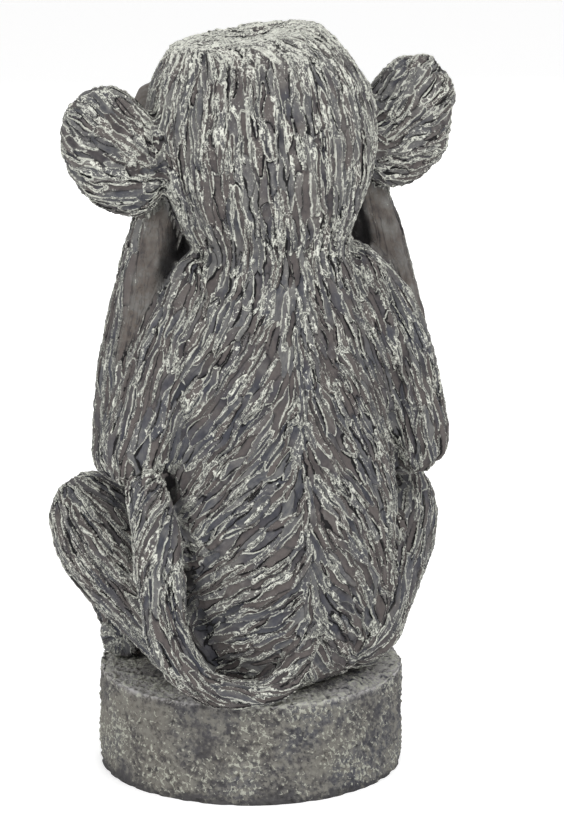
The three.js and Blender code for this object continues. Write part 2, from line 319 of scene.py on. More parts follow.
def ripple(points, length, seed, waves=14):
    """Smooth noise about zero, made of sine waves in many directions."""
    source = np.random.default_rng(seed)
    directions = unit(source.normal(size=(waves, 3)))
    pitches = 2 * math.pi / (length * source.uniform(0.7, 1.6, waves))
    phases = source.uniform(0, 2 * math.pi, waves)
    total = np.zeros(len(points))
    for direction, pitch, phase in zip(directions, pitches, phases):
        total += np.sin(points @ direction * pitch + phase)
    return total / math.sqrt(waves / 2)


def ripples(points, length, seeds):
    """Smooth noise in three directions."""
    return np.stack([ripple(points, length, seed) for seed in seeds], axis=1)


BOX_ROW = 1024
BOX_STEPS = (-1, 0, 1)
AROUND = [(x * BOX_ROW + y) * BOX_ROW + z for x in BOX_STEPS for y in BOX_STEPS for z in BOX_STEPS]


def boxed(points, size):
    """The number of the box of space that each point lies in, where AROUND leads to the boxes beside it."""
    boxes = np.floor(points / size).astype(np.int64) + BOX_ROW // 2
    return (boxes[:, 0] * BOX_ROW + boxes[:, 1]) * BOX_ROW + boxes[:, 2]


def near_groups(points, seeds, reach):
    """Yields the points of each box of space with the seeds in and around it."""
    seed_boxes = {}
    for index, box in enumerate(boxed(seeds, reach).tolist()):
        seed_boxes.setdefault(box, []).append(index)
    point_boxes = boxed(points, reach)
    order = np.argsort(point_boxes, kind="stable")
    starts = np.flatnonzero(np.diff(point_boxes[order], prepend=-1))
    for members in np.split(order, starts[1:]):
        box = int(point_boxes[members[0]])
        around = [index for step in AROUND for index in seed_boxes.get(box + step, ())]
        if around:
            yield members, np.array(around)


# Clay: the castings joined into one smooth form

def swelled_copy(node):
    """A copy of a casting with its loose triangles merged, swelled over its seam."""
    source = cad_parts[node]
    copy = bpy.data.objects.new(f"clay_{node}", source.data.copy())
    bpy.context.scene.collection.objects.link(copy)
    copy.data.materials.clear()
    modified(copy, "WELD", merge_threshold=0.01 * MM)
    modified(copy, "DISPLACE", strength=SEAM_SWELL, mid_level=0)
    return copy


def joined_clay():
    """One even quad mesh over the figure's castings, with soft creases where they meet."""
    copies = [swelled_copy(node) for node in FIGURE_NODES]
    only(copies[0])
    for copy in copies:
        copy.select_set(True)
    bpy.ops.object.join()
    clay = copies[0]
    clay.name = "figure_clay"
    modified(clay, "REMESH", mode="VOXEL", voxel_size=CLAY_GRAIN, adaptivity=0)
    points, _, ends = surface_of(clay.data)
    softness = 1 - CROWN_KEPT * smooth_step(CROWN_EDGE - CROWN_BAND, CROWN_EDGE, points[:, 2:])
    for node in ("hand_left", "hand_right", "foot_left", "foot_right"):
        softness[within_box(points, node)] = DIGIT_SMOOTHING
    for _ in range(CLAY_SMOOTHING):
        for step in (SMOOTH_IN, -SMOOTH_OUT):
            points += step * softness * (averaged(points, ends, len(points)) - points)
    set_points(clay.data, points)
    return clay


def nearest_castings(centres):
    """For each point, the number of the casting whose surface is nearest."""
    best = np.full(len(centres), np.inf)
    owner = np.zeros(len(centres), np.int64)
    for number, node in enumerate(FIGURE_NODES):
        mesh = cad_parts[node].data
        tree = BVHTree.FromPolygons([v.co for v in mesh.vertices], [p.vertices[:] for p in mesh.polygons])
        gaps = np.array([tree.find_nearest(Vector(centre))[3] for centre in centres])
        closer = gaps < best
        best[closer] = gaps[closer]
        owner[closer] = number
    return owner


def settled(owner, pairs, rounds=6, own_vote=1.5):
    """Lets each face follow the majority of its neighbours, so that no ragged islands are left."""
    kinds = owner.max() + 1
    for _ in range(rounds):
        votes = np.zeros((len(owner), kinds))
        np.add.at(votes, (pairs[:, 0], owner[pairs[:, 1]]), 1)
        np.add.at(votes, (pairs[:, 1], owner[pairs[:, 0]]), 1)
        votes[np.arange(len(owner)), owner] += own_vote
        owner = votes.argmax(axis=1)
    return owner


def face_pairs(mesh):
    """The pairs of faces that share an edge."""
    edge_of_corner = read(mesh.loops, "edge_index", 1, np.int64)
    totals = read(mesh.polygons, "loop_total", 1, np.int64)
    face_of_corner = np.repeat(np.arange(len(totals)), totals)
    order = np.argsort(edge_of_corner, kind="stable")
    edges = edge_of_corner[order]
    faces = face_of_corner[order]
    same = np.flatnonzero(edges[1:] == edges[:-1])
    return np.stack([faces[same], faces[same + 1]], axis=1)


# Direction of the fur

def within_box(points, node):
    low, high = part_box(node)
    return np.all((points > np.array(low)) & (points < np.array(high)), axis=1)


def middle_of(node):
    low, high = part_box(node)
    return np.array((Vector(low) + Vector(high)) / 2)


def toward(points, start, end):
    return np.broadcast_to(unit(np.asarray(end) - np.asarray(start)), points.shape)


def torso_fur(points):
    """Herringbone from the spine, steep at the neck and flatter towards the seat."""
    low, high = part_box("torso")
    rise = (points[:, 2] - low[2]) / (high[2] - low[2])
    spine = np.interp(rise, *SPINE) * MM
    side = np.tanh((points[:, 0] - spine) / (np.interp(rise, *PARTING) * MM))
    lean = np.radians(np.where(side > 0, np.interp(rise, *LEFT_LEAN), np.interp(rise, *RIGHT_LEAN)))
    lean = lean * (1 - 0.8 * smooth_step(0, BELLY_FRONT, points[:, 1]))
    return np.stack([side * np.sin(lean), np.zeros(len(points)), -np.cos(lean)], axis=1)


def head_fur(points, normals):
    """Combed across the flat crown, then down, fanning out and drawn in again at the neck."""
    low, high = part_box("head")
    middle = middle_of("head")
    rise = (points[:, 2] - low[2]) / (high[2] - low[2])
    outward = points - middle
    outward[:, 2] = 0
    outward = unit(outward)
    left = smooth_step(-HEAD_BLEND, HEAD_BLEND, points[:, 0])
    fan = np.interp(rise, *LEFT_FAN) * left + np.interp(rise, *RIGHT_FAN) * (1 - left)
    drift = np.interp(rise, *HEAD_DRIFT)
    lie = outward * fan[:, None] + drift[:, None] * [1, 0, 0] + [0, 0, -1]
    on_top = smooth_step(0.55, 0.85, normals[:, 2:])
    return lie * (1 - on_top) + CROWN_COMB * on_top


def ear_fur(points, name, side):
    """Fanning out from the ear's root, which lies a little inside the head."""
    low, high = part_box(f"ear_{name}")
    inner = low[0] if side > 0 else high[0]
    inside = inner - side * EAR_ROOT_DEPTH
    root = np.array([inside, (low[1] + high[1]) / 2, low[2] * 0.8 + high[2] * 0.2])
    away = points - root
    away[:, 1] *= 0.3
    return unit(away)


def tail_fur(points):
    """Along the tail as it curls round the rump."""
    low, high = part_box("tail")
    centre = np.array([low[0] + 0.28 * (high[0] - low[0]), 0, low[2] + 0.5 * (high[2] - low[2])])
    spoke = points - centre
    return unit(np.stack([-spoke[:, 2], np.zeros(len(points)), spoke[:, 0]], axis=1))


def limb_fur(limb, name, side, points):
    """The same way all over a limb, and fanning out on an ear."""
    if limb == "ear":
        return ear_fur(points, name, side)
    middle = middle_of(f"{limb}_{name}")
    return toward(points, middle, middle + np.array(LIMB_RUNS[limb]) * [side, 1, 1])


def fur_directions(points, normals, owner):
    """The lie of the fur before it is pressed on to the surface."""
    lie = np.zeros((len(points), 3))
    for number, node in enumerate(FIGURE_NODES):
        mine = owner == number
        if not mine.any():
            continue
        part = points[mine].copy()
        if node == "torso":
            lie[mine] = torso_fur(part)
        elif node == "head":
            lie[mine] = head_fur(part, normals[mine])
        elif node == "tail":
            lie[mine] = tail_fur(part)
        else:
            limb, name = node.rsplit("_", 1)
            lie[mine] = limb_fur(limb, name, dict(SIDES)[name], part)
    return lie


def pressed(lie, normals):
    """Directions laid flat on the surface."""
    return unit(lie - normals * np.sum(lie * normals, axis=1, keepdims=True))


def by_casting(values, owner):
    """A number for each place, looked up by the name of its casting without left or right."""
    names = [node.removesuffix("_left").removesuffix("_right") for node in FIGURE_NODES]
    return np.array([values.get(name, 1.0) for name in names])[owner]


def fur_strength(points, normals, owner):
    """How deep the fur is cut: full on back and limbs, faint on face, palms and inner forearms."""
    strength = by_casting(FUR_DEPTH, owner)
    for name, side in SIDES:
        mine = owner == FIGURE_NODES.index(f"forearm_{name}")
        inner = smooth_step(0.75, 0.3, side * normals[mine, 0] - 0.3 * normals[mine, 1])
        strength[mine] *= 1 - 0.97 * inner * smooth_step(BARE_ARM_FROM, BARE_ARM_FULL, points[mine, 2])
    for name in ("foot_left", "foot_right"):
        mine = owner == FIGURE_NODES.index(name)
        strength[mine] *= np.interp(points[mine, 1], *TOES_BARE)
    face = owner == FIGURE_NODES.index("head")
    bare = smooth_step(0.1, -0.3, normals[face, 1])
    bare *= smooth_step(FACE_TOP, FACE_TOP - 8 * MM, points[face, 2])
    strength[face] *= 1 - 0.95 * bare
    return strength


# Gouges

def scattered(middles, normals, lie, long, wide):
    """Spreads seeds over the surface, none too near another along or across the fur."""
    face_area = (CLAY_GRAIN / 2 ** REFINE_STEPS) ** 2
    expected = len(middles) * face_area / (long.mean() * wide * SEED_SPACING ** 2)
    candidates = rng.permutation(len(middles))[:int(expected * SEED_TRIES)]
    across = np.cross(normals, lie)
    boxes = boxed(middles, long.max() * SEED_SPACING)
    taken = {}
    kept = np.empty((len(candidates), 3))
    chosen = []
    for index in candidates.tolist():
        box = int(boxes[index])
        around = [number for step in AROUND for number in taken.get(box + step, ())]
        if around:
            away = kept[around] - middles[index]
            along = away @ lie[index] / long[index]
            aside = away @ across[index] / wide
            lift = away @ normals[index] / (2 * wide)
            if (along * along + aside * aside + lift * lift).min() < SEED_SPACING ** 2:
                continue
        kept[len(chosen)] = middles[index]
        taken.setdefault(box, []).append(len(chosen))
        chosen.append(index)
    return np.array(chosen)


def two_nearest(places, spots, ups, runs, long, wide):
    """The two strands nearest each place, measured long along the fur and narrow across it."""
    across = np.cross(ups, runs)
    nearest = np.zeros((len(places), 2), np.int64)
    for members, around in near_groups(places, spots, long.max() * SEED_SPACING):
        if len(around) < 2:
            continue
        away = places[members][:, None, :] - spots[around][None]
        gap = (np.einsum("ijk,jk->ij", away, runs[around]) / long[around]) ** 2
        gap += (np.einsum("ijk,jk->ij", away, across[around]) / wide[around]) ** 2
        gap += (np.einsum("ijk,jk->ij", away, ups[around]) / (2.5 * wide[around])) ** 2
        two = np.argpartition(gap, 1, axis=1)[:, :2]
        rows = np.arange(len(members))
        swap = gap[rows, two[:, 0]] > gap[rows, two[:, 1]]
        two[swap] = two[swap, ::-1]
        nearest[members] = around[two]
    return nearest


class Strands:
    """Strands laid side by side over the faces, and where each face's four corners lie in them."""

    def __init__(self, corners, normals, lie, stretch, length, width):
        middles = corners.mean(axis=1)
        seeds = scattered(middles, normals, lie, length * stretch, width)
        self.count = len(seeds)
        long = length * stretch[seeds] * rng.uniform(LENGTH_LEAST, LENGTH_MOST, self.count)
        wide = width * (WIDTH_LEAST + WIDTH_SPREAD * rng.uniform(0, 1, self.count) ** 2)
        turn = rng.normal(0, STRAND_TURN, (self.count, 1))
        spots, ups = middles[seeds], normals[seeds]
        runs = unit(lie[seeds] * np.cos(turn) + np.cross(ups, lie[seeds]) * np.sin(turn))
        sides = np.cross(ups, runs)
        nearest = two_nearest(middles, spots, ups, runs, long, wide)
        self.own, self.next = nearest.T
        reaches = []
        slopes = []
        for strand in (self.own, self.next):
            away = corners - spots[strand][:, None]
            along = np.einsum("ijk,ik->ij", away, runs[strand])
            aside = np.einsum("ijk,ik->ij", away, sides[strand])
            reach = np.hypot(along / long[strand, None], aside / wide[strand, None]) + 1e-6
            slope = runs[strand][:, None] * (along / long[strand, None] ** 2 / reach)[..., None]
            slope += sides[strand][:, None] * (aside / wide[strand, None] ** 2 / reach)[..., None]
            reaches.append(reach)
            slopes.append(slope)
            if strand is self.own:
                self.along, self.aside = along / long[strand, None], aside / wide[strand, None]
        steepness = np.linalg.norm(slopes[1] - slopes[0], axis=2) + 1e-6
        self.border = (reaches[1] - reaches[0]) / steepness
        self.turned = [self.faces_side(spots, sides, *pair) for pair in (nearest.T, nearest.T[::-1])]

    @staticmethod
    def faces_side(spots, sides, strand, other):
        """1 where the other strand lies on this strand's left, and -1 on its right."""
        return np.sign(np.sum((spots[other] - spots[strand]) * sides[strand], axis=1))

    def blended(self, values, soft):
        """A value of each strand at the corners, run together over the borders."""
        share = smooth_step(-soft, soft, self.border)
        return values[self.next][:, None] * (1 - share) + values[self.own][:, None] * share

    def at_ends(self):
        """1 where one strand ends against the next, and 0 where they lie side by side."""
        return smooth_step(0.1, 0.35, np.abs(self.along) - np.abs(self.aside))

    def border_draw(self, turn):
        """One random number for each border, alike from both of its sides."""
        low = np.minimum(self.own, self.next)
        high = np.maximum(self.own, self.next)
        low_mix, high_mix, stretch = BORDER_MIX
        return np.modf(np.abs(np.sin(low * low_mix + high * high_mix + turn) * stretch))[0]


def at_vertices(corner_values, faces, count):
    """The mean of the corners that meet at each vertex."""
    weights = np.bincount(faces.ravel(), minlength=count)
    return np.bincount(faces.ravel(), corner_values.ravel(), count) / np.maximum(weights, 1)


def patches(points, normals):
    """Where the fur is knobbly, with wider rims: in wide patches, on the flat crown and on the left knee."""
    on_crown = smooth_step(CROWN_EDGE, CROWN_EDGE + CROWN_BAND, points[:, 2])
    on_crown *= smooth_step(0.4, 0.8, normals[:, 2])
    left_knee = smooth_step(KNEE_INNER, KNEE_OUTER, points[:, 0])
    left_knee *= smooth_step(KNEE_TOP, KNEE_FULL, points[:, 2])
    scattered_patches = smooth_step(0.1, 1.3, ripple(points, PATCH_LENGTH, 34))
    return np.maximum(scattered_patches, np.maximum(on_crown, 0.7 * left_knee))


def gouged(strands, patchy):
    """How the strands rise and are cut at the faces' corners, and what the paint needs of that."""
    rise = rng.normal(0, 1, strands.count).clip(-1.8, 1.8) * STRAND_RELIEF
    tone = rng.uniform(0, 1, strands.count)
    gouge = rng.uniform(0.3, 1, strands.count)
    dark_side = rng.choice([-1, 1], strands.count, p=[0.3, 0.7])
    shade = np.clip(rng.normal(0.3, 0.5, strands.count), 0, 1)
    draw, second_draw = strands.border_draw(0), strands.border_draw(1)
    raised = draw > 0.4
    cracked = draw < 0.22
    swollen = smooth_step(0.6, 1.1, draw + 0.35 * patchy)
    rim = np.where(raised, RIM_LEAST + (RIM_MOST - RIM_LEAST) * swollen, 0)
    crest = second_draw * np.where(raised, 1, 0.35)
    crack = np.where(cracked, 0.4 + 0.6 * second_draw, 0)
    neighbours = zip((strands.own, strands.next), strands.turned)
    own_shade, next_shade = (shade[strand] * (side == dark_side[strand]) for strand, side in neighbours)
    on_own = strands.border > 0
    open_end = (strands.border_draw(2) > 0.35).astype(float)
    edge = np.abs(strands.border) - rim[:, None] + END_OPENING * strands.at_ends() * open_end[:, None]
    floor = np.where(on_own, gouge[strands.own][:, None], gouge[strands.next][:, None])
    shadow = np.where(on_own, own_shade[:, None], next_shade[:, None])
    cut = strands.blended(rise, STRAND_BLEND)
    cut -= GOUGE_DEPTH * floor * smooth_step(GOUGE_LIP, GOUGE_SLOPE, edge)
    cut -= CRACK_DEPTH * shadow * np.exp(-((edge - SHADOW_PLACE) / CRACK_WIDTH) ** 2)
    cut -= CRACK_DEPTH * crack[:, None] * np.exp(-(strands.border / CRACK_WIDTH) ** 2)
    kept = {
        "seam_kind": np.stack([rim / MM, crest, crack], axis=1),
        "open_end": open_end,
        "strand": np.stack([tone[strands.own], own_shade, gouge[strands.own]], axis=1),
        "next_strand": np.stack([tone[strands.next], next_shade, gouge[strands.next]], axis=1),
    }
    return cut, kept


def carve(mesh, strength, lie, stretch, crease):
    """Cuts the fur into the fine mesh, and keeps what the paint needs as attributes."""
    points, normals, ends = surface_of(mesh)
    faces = quads_of(mesh)
    count = len(points)
    wander = ripples(points, WANDER_LENGTH, (21, 22, 23)) * WANDER
    wander += ripples(points, WANDER_LENGTH / 3, (24, 25, 26)) * WANDER / 4
    face_normals = unit(normals[faces].mean(axis=1))
    face_lie = pressed(lie[faces].mean(axis=1), face_normals)
    lay = (face_normals, face_lie, stretch[faces].mean(axis=1))

    tufts = Strands((points + 2 * wander)[faces], *lay, TUFT_LENGTH, TUFT_WIDTH)
    tuft_rise = rng.normal(0, 1, tufts.count).clip(-1.6, 1.6) * TUFT_RELIEF
    height = at_vertices(tufts.blended(tuft_rise, TUFT_BLEND), faces, count)
    strands = Strands((points + wander)[faces], *lay, STRAND_LENGTH, STRAND_WIDTH)
    patchy = patches(points, normals)
    cut, kept = gouged(strands, patchy[faces].mean(axis=1))
    height += at_vertices(cut, faces, count)

    grain = ripple(points, 2.4 * MM, 31) * (0.04 + 0.1 * patchy) + ripple(points, 1.5 * MM, 32) * 0.05
    height = (height + grain * MM + 0.5 * GOUGE_DEPTH) * strength - TOP_ALLOWANCE
    height += SKIN_RELIEF * (1 - strength) * ripple(points, 4 * MM, 35)
    height -= crease * CREASE_DEPTH
    feature = np.maximum(face_lines(points, normals), digit_grooves(points))
    height -= feature
    near = spread(height[:, None], ends, 4)
    wide = spread(near, ends, 20)
    set_points(mesh, held_inside(points + normals * height[:, None]))

    kept["relief"] = (height - near[:, 0]) / MM
    kept["swell"] = (height - wide[:, 0]) / MM
    kept["patchy"] = patchy
    kept["fur"] = strength
    kept["crease"] = np.maximum(crease, feature / MM)
    place = [strands.aside, strands.along, strands.border / MM]
    kept["in_strand"] = np.stack(place, axis=2).reshape(-1, 3)
    for key, values in kept.items():
        add_values(mesh, key, values, PAINT_KEYS[key])


def face_lines(points, normals):
    """How deep the mouth's line and the two nostrils are cut."""
    aside = points[:, 0] - FACE_MIDDLE
    off_line = points[:, 2] - MOUTH["rise"] - MOUTH["curve"] * aside ** 2
    mouth = MOUTH["depth"] * np.exp(-(off_line / MOUTH["width"]) ** 2)
    mouth *= smooth_step(MOUTH["half_width"], 0.8 * MOUTH["half_width"], np.abs(aside))
    away = np.hypot(np.abs(aside) - NOSTRILS["apart"], points[:, 2] - NOSTRILS["rise"])
    nostrils = NOSTRILS["depth"] * smooth_step(NOSTRILS["radius"], 0.5 * NOSTRILS["radius"], away)
    return np.maximum(mouth, nostrils) * (points[:, 1] < FACE_FRONT) * smooth_step(0.1, -0.3, normals[:, 1])


def digit_grooves(points):
    """How deep the grooves between fingers and between toes are cut."""
    depth = np.zeros(len(points))
    for name, side in SIDES:
        out = side * (points[:, 0] - FIGURE_MIDDLE)
        rise = points[:, 2] + HEAD_LEAN * side * out
        grooves = np.exp(-((rise[:, None] - FINGER_SEAMS) / GROOVE_WIDTH) ** 2).max(axis=1)
        fingers = grooves * within_box(points, f"hand_{name}")
        fingers *= smooth_step(*FINGER_ROOTS, out) * smooth_step(*FINGER_TIPS, out)
        away = np.stack([out, points[:, 1]], axis=1) - TOE_ROOT
        across = away @ [-TOE_RUN[1], TOE_RUN[0]]
        grooves = np.exp(-((across[:, None] - TOE_SEAMS) / GROOVE_WIDTH) ** 2).max(axis=1)
        toes = grooves * within_box(points, f"foot_{name}") * smooth_step(*TOE_FADE, away @ TOE_RUN)
        depth = np.maximum(depth, GROOVE_DEPTH * np.maximum(fingers, toes))
    return depth


def held_inside(points):
    """Points kept inside the whole object's box."""
    return np.clip(points, np.array(cad_low) + 0.01 * MM, np.array(cad_high) - 0.01 * MM)


def add_values(mesh, name, values, domain="POINT"):
    """Keeps numbers or vectors on the mesh: at its vertices, its faces or its faces' corners."""
    values = np.asarray(values, np.float32)
    kind, slot = ("FLOAT", "value") if values.ndim == 1 else ("FLOAT_VECTOR", "vector")
    attribute = mesh.attributes.get(name) or mesh.attributes.new(name, kind, domain)
    attribute.data.foreach_set(slot, values.ravel())


def read_values(mesh, name):
    attribute = mesh.attributes[name]
    slot, width = ("value", 1) if attribute.data_type == "FLOAT" else ("vector", 3)
    return read(attribute.data, slot, width, np.float32)


# Pieces: the carved figure is parted again into its castings

def border_loops(faces):
    """The closed runs of vertices round a patch of faces."""
    starts = faces.ravel()
    stops = np.roll(faces, -1, axis=1).ravel()
    count = int(faces.max()) + 1
    forward = starts * count + stops
    backward = stops * count + starts
    open_edges = ~np.isin(forward, backward)
    following = {}
    for start, stop in zip(starts[open_edges].tolist(), stops[open_edges].tolist()):
        following.setdefault(start, []).append(stop)
    loops = []
    while following:
        first = next(iter(following))
        loop = [first]
        while True:
            options = following[loop[-1]]
            stop = options.pop()
            if not options:
                del following[loop[-1]]
            if stop == first:
                break
            loop.append(stop)
        loops.append(loop)
    return loops


def capped(points, normals, faces):
    """The inner faces that close a patch, a sheet over each of its borders, and points added for them."""
    caps = []
    added = []
    for loop in border_loops(faces):
        sheet = [tuple(loop[corner] for corner in triangle)
                 for triangle in tessellate_polygon([[Vector(points[index]) for index in loop]])]
        following = dict(zip(loop, loop[1:] + loop[:1]))
        agreeing = sum(following.get(a) == b for t in sheet for a, b in zip(t, t[1:] + t[:1]))
        opposing = sum(following.get(b) == a for t in sheet for a, b in zip(t, t[1:] + t[:1]))
        if agreeing > opposing:
            sheet = [triangle[::-1] for triangle in sheet]
        if len(sheet) != len(loop) - 2 or max(agreeing, opposing) != len(loop):
            middle = len(points) + len(added)
            added.append(points[loop].mean(axis=0) - normals[loop].mean(axis=0) * CAP_DEPTH)
            sheet = [(following[index], index, middle) for index in loop]
        caps.extend(sheet)
    return caps, np.array(added).reshape(-1, 3)


def part_mesh(name, points, normals, faces, values):
    """One closed mesh from some faces of the figure, shaded as one surface with its neighbours."""
    used, faces = np.unique(faces, return_inverse=True)
    faces = faces.reshape(-1, 4)
    points, normals = points[used], normals[used]
    caps, added = capped(points, normals, faces)
    mesh = bpy.data.meshes.new(name)
    mesh.from_pydata(np.concatenate([points, added]).tolist(), [], faces.tolist() + caps)
    mesh.update()
    extra = {"POINT": len(added), "FACE": len(caps), "CORNER": 3 * len(caps)}
    for key, domain in PAINT_KEYS.items():
        column = values[key][used] if domain == "POINT" else values[key]
        blank = np.zeros((extra[domain],) + column.shape[1:])
        add_values(mesh, key, np.concatenate([column, blank]), domain)
    mesh.shade_smooth()
    cap_normals = [mesh.polygons[len(faces) + i].normal[:] for i in range(len(caps)) for _ in range(3)]
    mesh.normals_split_custom_set(normals[faces.ravel()].tolist() + cap_normals)
    return mesh


def finished(piece, node, material):
    piece.data.materials.append(material)
    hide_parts(node)
    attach(piece, "root")


def seam_creases(faces, face_owner, vertex_owner, points, normals, ends):
    """Where two castings meet in a hollow, full on the seam and fading away from it."""
    differing = np.repeat(face_owner, 4) != vertex_owner[faces.ravel()]
    seam = np.zeros((len(points), 1))
    seam[faces.ravel()[differing]] = 1
    away = spread(points, ends, 11)
    hollow = smooth_step(CREASE_FROM, CREASE_FULL, np.sum((away - points) * normals, axis=1))
    seam = spread(seam, ends, 2)
    return np.clip(seam[:, 0] * 2.2, 0, 1) * hollow, hollow


def sheltered(faces, points, normals):
    """How far each point is shut in by what stands around it, from 0 in the open to 1 in a deep pocket."""
    tree = BVHTree.FromPolygons(points.tolist(), faces.tolist())
    leans = unit(np.random.default_rng(5).normal(size=(SHELTER_RAYS, 3)))
    hits = np.zeros(len(points))
    for lean in leans:
        aims = unit(normals * SHELTER_SPREAD + lean)
        starts = points + normals * SHELTER_START
        for index, (start, aim) in enumerate(zip(starts.tolist(), aims.tolist())):
            if tree.ray_cast(start, aim, SHELTER_REACH)[0] is not None:
                hits[index] += 1
    return hits / SHELTER_RAYS


def prepared_clay():
    """The joined clay, refined for carving, with each face's casting and the fur's lie, depth and length."""
    clay = joined_clay()
    mesh = clay.data
    points, normals, ends = surface_of(mesh)
    faces = quads_of(mesh)
    face_owner = settled(nearest_castings(points[faces].mean(axis=1)), face_pairs(mesh))
    for _ in FIGURE_NODES:
        mesh.materials.append(None)
    mesh.polygons.foreach_set("material_index", face_owner)
    vertex_owner = np.zeros(len(points), np.int64)
    vertex_owner[faces.ravel()] = np.repeat(face_owner, 4)

    crease, hollow = seam_creases(faces, face_owner, vertex_owner, points, normals, ends)
    shelter = spread(sheltered(faces, points, normals)[:, None], ends, 3, 0.6)[:, 0]
    reached = (1 - 0.5 * hollow) * (1 - 0.75 * smooth_step(0.45, 0.85, shelter))
    strength = fur_strength(points, normals, vertex_owner) * reached
    stretch = by_casting(FUR_STRETCH, vertex_owner)
    strength, stretch = (spread(values[:, None], ends, LAY_ROUNDS, 0.5)[:, 0]
                         for values in (strength, stretch))
    lie = pressed(fur_directions(points, normals, vertex_owner), normals)
    for _ in range(LAY_ROUNDS):
        lie = pressed(spread(lie, ends, 1, 0.5), normals)
    kept = {
        "crease": crease, "hollow": hollow, "shelter": shelter,
        "lie": lie, "strength": strength, "stretch": stretch,
    }
    for key, values in kept.items():
        add_values(mesh, key, values)
    modified(clay, "SUBSURF", levels=REFINE_STEPS, render_levels=REFINE_STEPS)
    return clay


def add_casting(name, node, chosen, surface, values, material):
    """Makes one piece of the chosen faces, with what the paint needs of them."""
    points, normals, faces = surface
    corners = np.repeat(chosen, 4)
    shares = {"POINT": slice(None), "FACE": chosen, "CORNER": corners}
    part_values = {key: values[key][shares[domain]] for key, domain in PAINT_KEYS.items()}
    part = part_mesh(f"carved_{name}", points, normals, faces[chosen], part_values)
    piece = bpy.data.objects.new(f"carved_{name}", part)
    bpy.context.scene.collection.objects.link(piece)
    finished(piece, node, material)


def carved_figure(material):
    """The whole figure is carved in one go and parted into its castings, the torso into back and chest."""
    clay = prepared_clay()
    mesh = clay.data
    owner = read(mesh.polygons, "material_index", 1, np.int32)
    carve(mesh, *(read_values(mesh, key) for key in ("strength", "lie", "stretch", "crease")))
    points, normals, _ = surface_of(mesh)
    faces = quads_of(mesh)
    surface = (points, normals, faces)
    values = {key: read_values(mesh, key) for key in PAINT_KEYS}
    for number, node in enumerate(FIGURE_NODES):
        mine = owner == number
        if node == "torso":
            behind = points[faces].mean(axis=1)[:, 1] > TORSO_SPLIT
            add_casting("back", node, mine & behind, surface, values, material)
            add_casting("chest", node, mine & ~behind, surface, values, material)
        else:
            add_casting(node, node, mine, surface, values, material)
    bpy.data.objects.remove(clay)


def plinth_disc(radius, height):
    """A disc of small faces: its side cut across, and its two ends inset ring by ring."""
    grain = CLAY_GRAIN / 2
    around = int(2 * math.pi * radius / grain)
    middle = (0, 0, height / 2)
    bpy.ops.object.select_all(action="DESELECT")
    bpy.ops.mesh.primitive_cylinder_add(vertices=around, radius=radius, depth=height, location=middle)
    disc = bpy.context.active_object
    disc.name = "rough_plinth"
    disc.data.name = "rough_plinth"
    bpy.ops.object.transform_apply(location=True, rotation=False, scale=False)
    bpy.ops.object.mode_set(mode="EDIT")
    form = bmesh.from_edit_mesh(disc.data)
    upright = [edge for edge in form.edges if abs(edge.verts[0].co.z - edge.verts[1].co.z) > height / 2]
    select_only(upright, "EDGE")
    bpy.ops.mesh.subdivide(number_cuts=int(height / grain))
    top_steps = [grain] * FINE_RINGS + [radius / 60] * (TOP_RINGS - FINE_RINGS)
    under_steps = [radius / 10] * UNDER_RINGS
    for up, steps in ((1, top_steps), (-1, under_steps)):
        form = bmesh.from_edit_mesh(disc.data)
        end = [face for face in form.faces if face.normal.z * up > 0.9 and len(face.verts) > 4]
        select_only(end, "FACE")
        for step in steps:
            bpy.ops.mesh.inset(thickness=step, depth=0)
        bpy.ops.mesh.poke()
    bpy.ops.object.mode_set(mode="OBJECT")
    return disc


def roughen(mesh, radius, height):
    """Lumps, grains and pits all over, a broken rim and foot, and a top combed outwards."""
    points, normals, ends = surface_of(mesh)
    outward = unit(points * [1, 1, 0])
    reach = np.hypot(points[:, 0], points[:, 1])
    turn = np.arctan2(points[:, 1], points[:, 0])
    top = smooth_step(0.5, 0.95, normals[:, 2])
    rim = np.exp(-(np.hypot(radius - reach, height - points[:, 2]) / RIM_WEAR) ** 2)
    foot = np.exp(-(np.hypot(radius - reach, points[:, 2]) / FOOT_WEAR) ** 2)

    lumps = 0.5 * ripple(points, 24 * MM, 41) + 0.3 * ripple(points, 9 * MM, 42)
    grains = 0.2 * ripple(points, 2.4 * MM, 43) + 0.14 * ripple(points, 1.5 * MM, 44)
    pits = smooth_step(1.1, 1.9, ripple(points, 2.2 * MM, 45))
    combed = np.sin(turn * COMB_STROKES + 4.5 * ripple(points, 11 * MM, 48))
    combed *= smooth_step(0.3, 0.8, reach / radius) * smooth_step(-0.6, 0.8, ripple(points, 9 * MM, 50))
    chips = np.clip(ripple(points, 7 * MM, 49), -0.3, 1.5)
    side_relief = 0.4 * lumps + grains - 0.4 * pits
    top_relief = 0.5 * lumps + grains + 0.3 * combed - 0.2 * pits
    relief = side_relief * (1 - top) + top_relief * top - 0.5 * PLINTH_ROUGHNESS / MM
    relief -= rim * (0.3 + 0.9 * chips)

    moved = points + normals * (relief * MM * (points[:, 2] > RESTING))[:, None]
    moved -= outward * (foot * (0.5 + 0.4 * chips) * MM)[:, None]
    moved[points[:, 2] < RESTING, 2] = 0
    moved[:, 2] = np.clip(moved[:, 2], 0, None)
    set_points(mesh, moved)
    add_values(mesh, "relief", relief - spread(relief[:, None], ends, 5)[:, 0])
    add_values(mesh, "swell", 0.6 * lumps - 0.8 * pits)
    add_values(mesh, "comb", combed * top)
    # top: the top towards its rim, which gets painted light from above and so leaves painted shade round the
    # figure, and the worn rim; foot: the bottom band, which gets painted shade
    open_top = top * smooth_step(0.6, 0.92, reach / radius)
    add_values(mesh, "top", np.maximum(0.8 * open_top, rim))
    add_values(mesh, "foot", smooth_step(FOOT_BAND, 0, points[:, 2]))
    mesh.shade_smooth()


